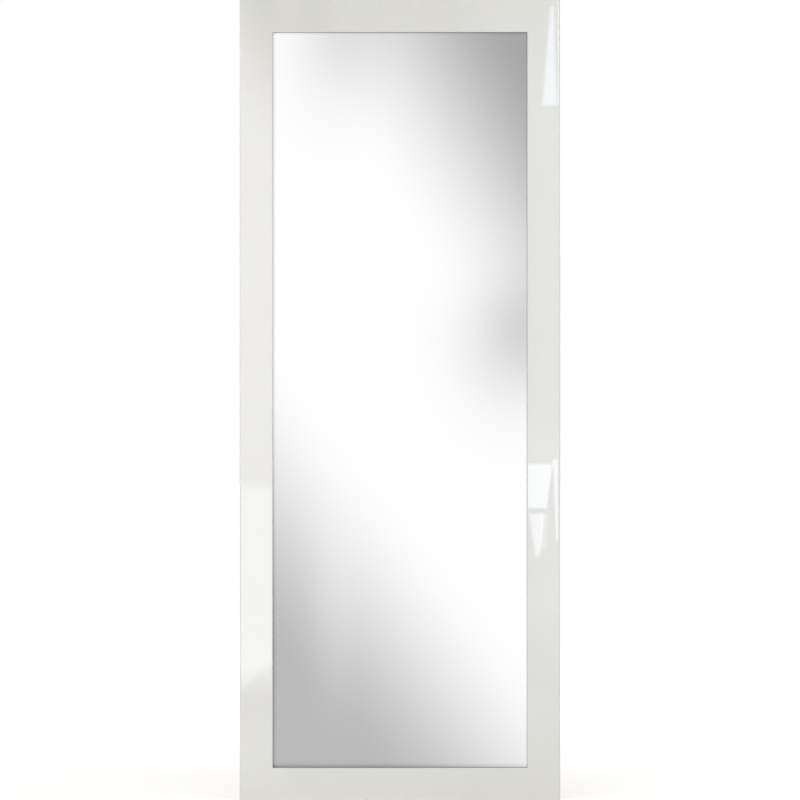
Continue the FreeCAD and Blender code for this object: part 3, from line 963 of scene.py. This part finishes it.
    def build(self) -> None:
        """Drives every screw, each stopped at its own angle, in place of the plain solids."""
        one = self.screw()
        for group, places in self.places().items():
            driven = bmesh.new()
            for i, (x, z, lift) in enumerate(places):
                copy = one.copy()
                turn = Matrix.Rotation(math.radians(self.first_turn_deg + self.next_turn_deg * i), 4, "Y")
                place = Matrix.Translation(Vector((x, BACK_Y + lift, FRAME_MIDDLE + z)) * MM)
                copy.transform(place @ turn @ Matrix.Scale(MM, 4))
                driven.from_mesh(copy)
                bpy.data.meshes.remove(copy)
            mesh = bpy.data.meshes.new(f"{group}_driven")
            driven.to_mesh(mesh)
            driven.free()
            mesh.materials.append(Finishes.ZINC.value.material())
            new_piece(f"{group}_driven", mesh, Slot.ZINC, group)


@dataclass
class CornerNails:
    """The V-nails that draw each mitre together: folded strips, driven in from the back."""

    leg: float = 7.0
    thickness: float = 0.8
    depth: float = 10.0
    insets: Pair = (9.0, 44.0)
    fold_steps: int = 5
    burr: float = 0.12
    proud: float = 0.03

    def outline(self) -> list[Pair]:
        """Works out a nail's end as driven.

        Returns:
            Points of the folded strip, as distances from its apex along the two rails.
        """
        fold = []
        for step in range(self.fold_steps + 1):
            angle = math.pi / 2 * step / self.fold_steps
            fold.append((self.thickness * (1 - math.sin(angle)), self.thickness * (1 - math.cos(angle))))
        far, near = self.leg, self.thickness
        return fold[::-1] + [(far, 0.0), (far, near), (near, near), (near, far), (0.0, far)]

    def build(self) -> None:
        """Folds and drives two nails across each mitre, in place of the plain solids."""
        driven = bmesh.new()
        back = BACK_Y + self.proud
        for sx, sz, inset in [(sx, sz, inset) for sx in SIDES for sz in SIDES for inset in self.insets]:
            ring = []
            for u, v in self.outline():
                x = sx * (FRAME_WIDTH / 2 - inset - u)
                z = FRAME_MIDDLE + sz * (FRAME_HEIGHT / 2 - inset - v)
                ring.append(driven.verts.new(Vector((x, back, z)) * MM))
            end = driven.faces.new(ring)
            strip = bmesh.ops.extrude_face_region(driven, geom=[end])["geom"]
            sunk = [v for v in strip if isinstance(v, bmesh.types.BMVert)]
            bmesh.ops.translate(driven, verts=sunk, vec=Vector((0, -self.depth * MM, 0)))
        bmesh.ops.recalc_face_normals(driven, faces=driven.faces)
        rims = [e for e in driven.edges if all(v.co.y > (back - self.depth / 2) * MM for v in e.verts)]
        bmesh.ops.bevel(driven, geom=rims, offset=self.burr * MM, segments=2, affect="EDGES", profile=0.5)
        mesh = bpy.data.meshes.new("corner_v_nails_driven")
        driven.to_mesh(mesh)
        driven.free()
        mesh.materials.append(Finishes.ZINC.value.material())
        new_piece("corner_v_nails_driven", mesh, Slot.ZINC, "corner_v_nails")


@dataclass
class KeptPieces:
    """Pieces whose CAD meshes stay as they are: the finish of each material slot."""

    finishes: dict[Slot, Finishes]

    def build(self) -> None:
        """Dresses every CAD node of each slot."""
        for slot, finish in self.finishes.items():
            finish.dress(*slot.nodes())


@dataclass
class Glazing(KeptPieces):
    """The pane, its tape, film and packers, and the card and board behind it."""

    finishes: dict[Slot, Finishes] = field(
        default_factory=lambda: {
            Slot.GLASS: Finishes.MIRROR,
            Slot.TAPE: Finishes.FOAM,
            Slot.FILM: Finishes.FILM,
            Slot.PACKER: Finishes.PACKER,
            Slot.CARD: Finishes.CARD,
            Slot.HARDBOARD: Finishes.HARDBOARD,
        }
    )


@dataclass
class PlatedHardware(KeptPieces):
    """The steel on the back: corner braces, turn buttons, strap hangers and rings.

    The screws' and V-nails' solids are dressed with them, though finer pieces stand for those.
    """

    finishes: dict[Slot, Finishes] = field(default_factory=lambda: {Slot.ZINC: Finishes.ZINC})


@dataclass
class RubberFeet(KeptPieces):
    """The wall bumpers and the floor pads."""

    finishes: dict[Slot, Finishes] = field(default_factory=lambda: {Slot.RUBBER: Finishes.RUBBER})


def eased(share: np.ndarray) -> np.ndarray:
    """Eases shares in and out between 0 and 1, and holds them there."""
    held = np.clip(share, 0, 1)
    return held * held * (3 - 2 * held)


def upright(left: float, right: float, top: float, bottom: float) -> tuple[Pair, ...]:
    """Gives an upright rectangle's corners, clockwise from its top left."""
    return (left, top), (right, top), (right, bottom), (left, bottom)


@dataclass(frozen=True)
class SoftFlag:
    """A grey flag with a straight soft edge, which takes light off a card beyond a line."""

    toward: Pair
    start: float
    end: float
    depth: float
    tint: str = "#FFFFFF"

    def light(self, x: np.ndarray, z: np.ndarray) -> np.ndarray:
        """Works out the light that it adds, here below zero.

        Args:
            x: Points' distances right of the frame's middle, in millimetres.
            z: Their distances above it.

        Returns:
            The light at each point.
        """
        reach = (x * self.toward[0] + z * self.toward[1]) / math.hypot(*self.toward)
        return -self.depth * eased((reach - self.start) / (self.end - self.start))


@dataclass(frozen=True)
class SoftSpot:
    """A round soft patch, which lifts or lowers the light of a card."""

    centre: Pair
    wide: float
    above: float
    below: float
    glow: float
    tint: str = "#FFFFFF"

    def light(self, x: np.ndarray, z: np.ndarray) -> np.ndarray:
        """Works out the light that it adds.

        Args:
            x: Points' distances right of the frame's middle, in millimetres.
            z: Their distances above it.

        Returns:
            The light at each point.
        """
        across = (x - self.centre[0]) / self.wide
        up = z - self.centre[1]
        along = up / np.where(up > 0, self.above, self.below)
        return self.glow * np.exp(-across * across - along * along)


@dataclass(frozen=True)
class SoftPane:
    """A pane of light: a convex shape, corners clockwise, whose edge fades over a width."""

    corners: tuple[Pair, ...]
    fade: float
    glow: float
    tint: str = "#FFFFFF"

    def light(self, x: np.ndarray, z: np.ndarray) -> np.ndarray:
        """Works out the light that it adds.

        Args:
            x: Points' distances right of the frame's middle, in millimetres.
            z: Their distances above it.

        Returns:
            The light at each point.
        """
        inside = np.full(x.shape, np.inf)
        for (x0, z0), (x1, z1) in zip(self.corners, self.corners[1:] + self.corners[:1]):
            length = math.hypot(x1 - x0, z1 - z0)
            inside = np.minimum(inside, ((x - x0) * (z1 - z0) - (z - z0) * (x1 - x0)) / length)
        return self.glow * eased(inside / self.fade + 0.5)


Lighting = SoftFlag | SoftSpot | SoftPane


@dataclass(frozen=True)
class CardPanel:
    """A rectangle of a light card: its reach across and up, its grid's step, its plain level, its lights."""

    across: Pair
    up: Pair
    step: float
    plain: float
    lights: tuple[Lighting, ...]
    in_opening: bool = False

    def lines(self) -> tuple[np.ndarray, np.ndarray]:
        """Works out the grid's lines.

        Returns:
            Where they cross it from side to side, and where from foot to top.
        """
        counts = [max(2, round((high - low) / self.step) + 1) for low, high in (self.across, self.up)]
        return np.linspace(*self.across, counts[0]), np.linspace(*self.up, counts[1])

    def level(self, x: np.ndarray, z: np.ndarray) -> np.ndarray:
        """Works out the panel's light.

        Args:
            x: Points' distances right of the frame's middle, in millimetres.
            z: Their distances above it.

        Returns:
            The colour of the light at each point.
        """
        added = (light.light(x, z)[..., None] * np.array(linear(light.tint)) for light in self.lights)
        return self.plain + sum(added)


@dataclass
class ReflectionCard:
    """Light cards that only reflections see, laid out as the camera finds them in the glass and in the gloss.

    Their lights are given on the mirror's plane, in millimetres right of and above the frame's middle. The
    pane's card stands in the frame's opening, close to the pane. The rails' card stands ahead of them, curls
    back round the frame's sides and top, and folds back to it along the floor.
    """

    distance: float
    magnify: float
    pane_gap: float = 5.0
    margin: float = 6.0
    curl_deg: float = 130.0
    fine_step: float = 2.0
    soft_step: float = 4.0
    plain_step: float = 8.0
    white: float = 1.06
    rail_glow: float = 0.68
    least_glow: float = 0.02
    glass_lights: tuple[Lighting, ...] = (
        # The two grey corners, and the softer patches near them.
        SoftFlag((1.0, 0.6), 180.0, 600.0, 0.66),
        SoftFlag((-1.2, -1.0), 120.0, 527.0, 0.54),
        SoftSpot((-130.0, 720.0), 90.0, 144.0, 144.0, -0.18),
        SoftSpot((230.0, 124.0), 110.0, 110.0, 140.0, -0.27),
        SoftSpot((-134.0, -440.0), 48.0, 180.0, 180.0, 0.06),
        # Painted shade along the pane's edges: the card dims there, so that the glass shows a shade that
        # stands in for the lip's.
        SoftFlag((-1.0, 0.0), 246.0, 254.0, 0.14),
        SoftFlag((0.0, 1.0), 729.0, 734.0, 0.08),
        SoftFlag((0.0, -1.0), 722.0, 730.0, 0.05),
        SoftFlag((0.0, -1.0), 728.0, 732.0, 0.11),
    )
    rail_lights: tuple[Lighting, ...] = (
        # Left rail: a tall softbox, dimmed at its upper end, and a pane of cool light lower down. Past the
        # rail's edge that light is dimmed, so that the edge stays clear of the white room in slanting views.
        SoftPane(upright(-900.0, -200.0, 990.0, -560.0), 120.0, 2.6),
        SoftPane(((-400.0, 990.0), (-200.0, 990.0), (-200.0, 545.0), (-400.0, 865.0)), 200.0, -3.3),
        SoftPane(
            ((-700.0, -134.0), (-253.0, -178.0), (-253.0, -520.0), (-700.0, -920.0)), 26.0, 1.55, "#E8F0FF"
        ),
        SoftPane(((-700.0, -134.0), (-325.0, -171.0), (-325.0, -592.0), (-700.0, -920.0)), 8.0, -2.0),
        # Right rail: a wide cool glow, stronger along its middle.
        SoftPane(upright(200.0, 900.0, 1300.0, -650.0), 300.0, 0.95, "#EEF5FF"),
        SoftPane(upright(200.0, 900.0, 640.0, -500.0), 300.0, 1.0, "#EEF5FF"),
        # Bottom rail: light off the floor, more of it at the left.
        SoftPane(upright(-700.0, 0.0, -560.0, -1300.0), 400.0, 0.34),
        SoftPane(upright(-900.0, 900.0, -600.0, -1300.0), 120.0, 0.55),
        SoftPane(upright(-900.0, -230.0, -500.0, -765.0), 80.0, 0.68),
        # Top rail: a faint glow at the right, and then the room's light on the top and bottom arrises.
        SoftPane(upright(-200.0, 700.0, 1300.0, 600.0), 400.0, 0.4),
        SoftPane(upright(-400.0, 400.0, 1300.0, 808.0), 4.0, 1.0),
        SoftPane(upright(-400.0, 400.0, -803.0, -1300.0), 4.0, 1.5),
        # Right rail: a crisp spear of light at the top and its line on the arris, then lower panes.
        SoftSpot((272.0, -98.0), 60.0, 60.0, 60.0, 0.6),
        SoftPane(((300.0, 784.0), (307.0, 784.0), (313.0, 588.0), (284.0, 588.0)), 8.0, 3.4, "#DCECFF"),
        SoftPane(((315.0, 810.0), (324.0, 810.0), (332.0, 590.0), (322.0, 590.0)), 4.0, 6.0, "#FFFAF2"),
        SoftPane(((250.0, -128.0), (304.0, -128.0), (293.0, -216.0), (250.0, -216.0)), 6.0, 3.8, "#E8F2FF"),
        SoftPane(((257.0, -227.0), (288.0, -227.0), (279.0, -312.0), (271.0, -312.0)), 8.0, 3.0, "#F0F6FF"),
        SoftPane(((282.0, -227.0), (294.0, -227.0), (294.0, -296.0), (278.0, -296.0)), 8.0, 1.1, "#F0F6FF"),
        SoftPane(((305.0, -118.0), (317.0, -118.0), (317.0, -282.0), (312.0, -282.0)), 3.0, 3.0, "#F0F6FF"),
    )

    def panels(self) -> list[CardPanel]:
        """Lays out the cards' rectangles.

        Returns:
            The pane's card, then the rails' card: its sides, its middle, its curled top and its folded foot.
        """
        half_x, half_z = FRAME_WIDTH / 2, FRAME_HEIGHT / 2
        pane_x, pane_z = half_x - RAIL_WIDTH, half_z - RAIL_WIDTH
        flat_x, flat_z = half_x + self.margin, half_z + self.margin
        curled = self.distance * math.radians(self.curl_deg)
        opening = ((-pane_x, pane_x), (-pane_z, pane_z), self.fine_step)
        rails = (
            ((-flat_x - curled, -pane_x), (-half_z, flat_z), self.fine_step),
            ((pane_x, flat_x + curled), (-half_z, flat_z), self.fine_step),
            ((-pane_x, pane_x), (-half_z, flat_z), self.plain_step),
            ((-flat_x, flat_x), (flat_z, flat_z + curled), self.soft_step),
            ((-flat_x, flat_x), (-half_z - self.distance, -half_z), self.soft_step),
        )
        pane = CardPanel(*opening, self.white, self.glass_lights, in_opening=True)
        return [pane] + [CardPanel(*reach, self.rail_glow, self.rail_lights) for reach in rails]

    def place(self, x: np.ndarray, z: np.ndarray, in_opening: bool) -> np.ndarray:
        """Puts points of the mirror's plane on a card.

        Args:
            x: Distances right of the frame's middle, in millimetres.
            z: Distances above it.
            in_opening: Whether the card is the pane's flat one, or the one that wraps round the rails.

        Returns:
            One row of X, Y and Z for each point, in metres.
        """
        if in_opening:
            depth = np.full(x.shape, PANE_Y - self.pane_gap)
            return np.stack([x, depth, FRAME_MIDDLE + z], axis=-1).reshape(-1, 3) * MM
        foot = -FRAME_HEIGHT / 2
        flat_x, flat_z = FRAME_WIDTH / 2 + self.margin, FRAME_HEIGHT / 2 + self.margin
        aside = np.maximum(np.abs(x) - flat_x, 0) / self.distance
        over = np.maximum(z - flat_z, 0) / self.distance
        under = np.maximum(foot - z, 0)
        across = np.sign(x) * (np.minimum(np.abs(x), flat_x) * self.magnify + self.distance * np.sin(aside))
        ahead = self.distance * np.cos(aside) * np.cos(over) - under
        up = np.clip(z, foot, flat_z) * self.magnify + self.distance * np.sin(over)
        return np.stack([across, FRONT_Y - ahead, FRAME_MIDDLE + up], axis=-1).reshape(-1, 3) * MM

    def build(self) -> None:
        """Lays the cards in front of the mirror, where neither the camera nor the floor can see them."""
        points: list[list[float]] = []
        faces: list[tuple[int, int, int, int]] = []
        levels: list[np.ndarray] = []
        for panel in self.panels():
            xs, zs = panel.lines()
            x, z = np.meshgrid(xs, zs)
            base, columns = len(points), len(xs)
            points += self.place(x, z, panel.in_opening).tolist()
            levels.append(np.maximum(panel.level(x, z), self.least_glow).reshape(-1, 4))
            for row in range(len(zs) - 1):
                firsts = range(base + row * columns, base + row * columns + columns - 1)
                faces += [(i, i + 1, i + columns + 1, i + columns) for i in firsts]
        paper = LitPaper("lit_card")
        mesh = bpy.data.meshes.new("reflection_card")
        mesh.from_pydata(points, [], faces)
        glows = mesh.attributes.new(paper.attribute, "FLOAT_COLOR", "POINT")
        glows.data.foreach_set("color", np.concatenate(levels).ravel())
        mesh.materials.append(paper.material())
        card = bpy.data.objects.new("reflection_card", mesh)
        bpy.context.scene.collection.objects.link(card)
        card.visible_camera = card.visible_diffuse = card.visible_shadow = False


@dataclass(frozen=True)
class SoftLamp:
    """A large square lamp: where it hangs, its side in millimetres and its power in watts."""

    name: str
    place: Point
    side: float
    power: float

    def hang(self, scene: bpy.types.Scene) -> None:
        """Hangs the lamp, turned to the frame's middle.

        Args:
            scene: The scene to light.
        """
        lamp = bpy.data.lights.new(self.name, "AREA")
        lamp.shape, lamp.size, lamp.energy = "SQUARE", self.side * MM, self.power
        hung = bpy.data.objects.new(self.name, lamp)
        hung.location = Vector(self.place) * MM
        toward = Vector((0, 0, FRAME_MIDDLE)) * MM - hung.location
        hung.rotation_euler = toward.to_track_quat("-Z", "Y").to_euler()
        hung.visible_camera = False
        scene.collection.objects.link(hung)


@dataclass
class Studio:
    """A pale floor, soft light all round, and a camera square on to the mirror."""

    lens_mm: float = 180.0
    sensor_mm: float = 36.0
    fill: float = 0.9975
    view_reach_m: float = 200.0
    room_light: float = 0.53
    floor_half: float = 30000.0
    card_distance: float = 16.0
    lamps: tuple[SoftLamp, ...] = (
        SoftLamp("key_lamp", (-1500.0, -3600.0, 1400.0), 2400.0, 33.2),
        SoftLamp("fill_lamp", (1500.0, -3500.0, 1300.0), 2400.0, 16.2),
        SoftLamp("back_lamp", (1500.0, 3400.0, 2600.0), 3000.0, 50.0),
    )

    def build(self) -> None:
        """Sets up the room light, the floor, the lamps, the camera and the cards."""
        scene = bpy.context.scene
        scene.view_settings.view_transform = "Standard"
        self.world(scene)
        self.floor(scene)
        for lamp in self.lamps:
            lamp.hang(scene)
        distance = self.camera(scene)
        ReflectionCard(self.card_distance, 1 + self.card_distance / distance).build()

    def world(self, scene: bpy.types.Scene) -> None:
        """Makes an even room: white where the camera and mirrors look, softer as light.

        Args:
            scene: The scene to light.
        """
        room = bpy.data.worlds.new("studio_room")
        scene.world = room
        room.use_nodes = True
        tree = room.node_tree
        tree.nodes.clear()
        level = add_node(tree, "MapRange", {"To Min": self.room_light, "To Max": 1.0}, {"Value": seen(tree)})
        light = add_node(
            tree, "Background", {"Color": linear("#FFFFFF")}, {"Strength": level.outputs["Result"]}
        )
        add_node(tree, "OutputWorld", links={"Surface": light.outputs["Background"]})

    def floor(self, scene: bpy.types.Scene) -> None:
        """Lays the pale floor that the mirror stands on.

        Args:
            scene: The scene to add it to.
        """
        half = self.floor_half * MM
        corners = [(-half, -half, 0), (half, -half, 0), (half, half, 0), (-half, half, 0)]
        mesh = bpy.data.meshes.new("pale_floor")
        mesh.from_pydata(corners, [], [(0, 1, 2, 3)])
        mesh.materials.append(FloorPaint("pale_floor_paint").material())
        floor = bpy.data.objects.new("pale_floor", mesh)
        scene.collection.objects.link(floor)

    def camera(self, scene: bpy.types.Scene) -> float:
        """Places the camera square on, where the frame's front just fills the picture's height.

        Args:
            scene: The scene to shoot.

        Returns:
            The camera's distance from the frame's front, in millimetres.
        """
        distance = FRAME_HEIGHT * self.fill * self.lens_mm / self.sensor_mm
        data = bpy.data.cameras.new("camera")
        data.lens, data.sensor_width, data.clip_end = self.lens_mm, self.sensor_mm, self.view_reach_m
        camera = bpy.data.objects.new("camera", data)
        camera.location = Vector((0, FRONT_Y - distance, FRAME_MIDDLE)) * MM
        camera.rotation_euler = (math.pi / 2, 0, 0)
        scene.collection.objects.link(camera)
        scene.camera = camera
        return distance


def main() -> None:
    """Builds the pieces in order, dresses them, and sets the studio round them."""
    logging.basicConfig(level=logging.INFO, format="%(message)s")
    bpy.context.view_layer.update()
    for assembly in (PlatedHardware(), MitredFrame(), CornerNails(), Glazing(), WoodScrews(), RubberFeet()):
        LOG.info("%s", type(assembly).__name__)
        assembly.build()
    Studio().build()


if __name__ == "__main__":
    main()
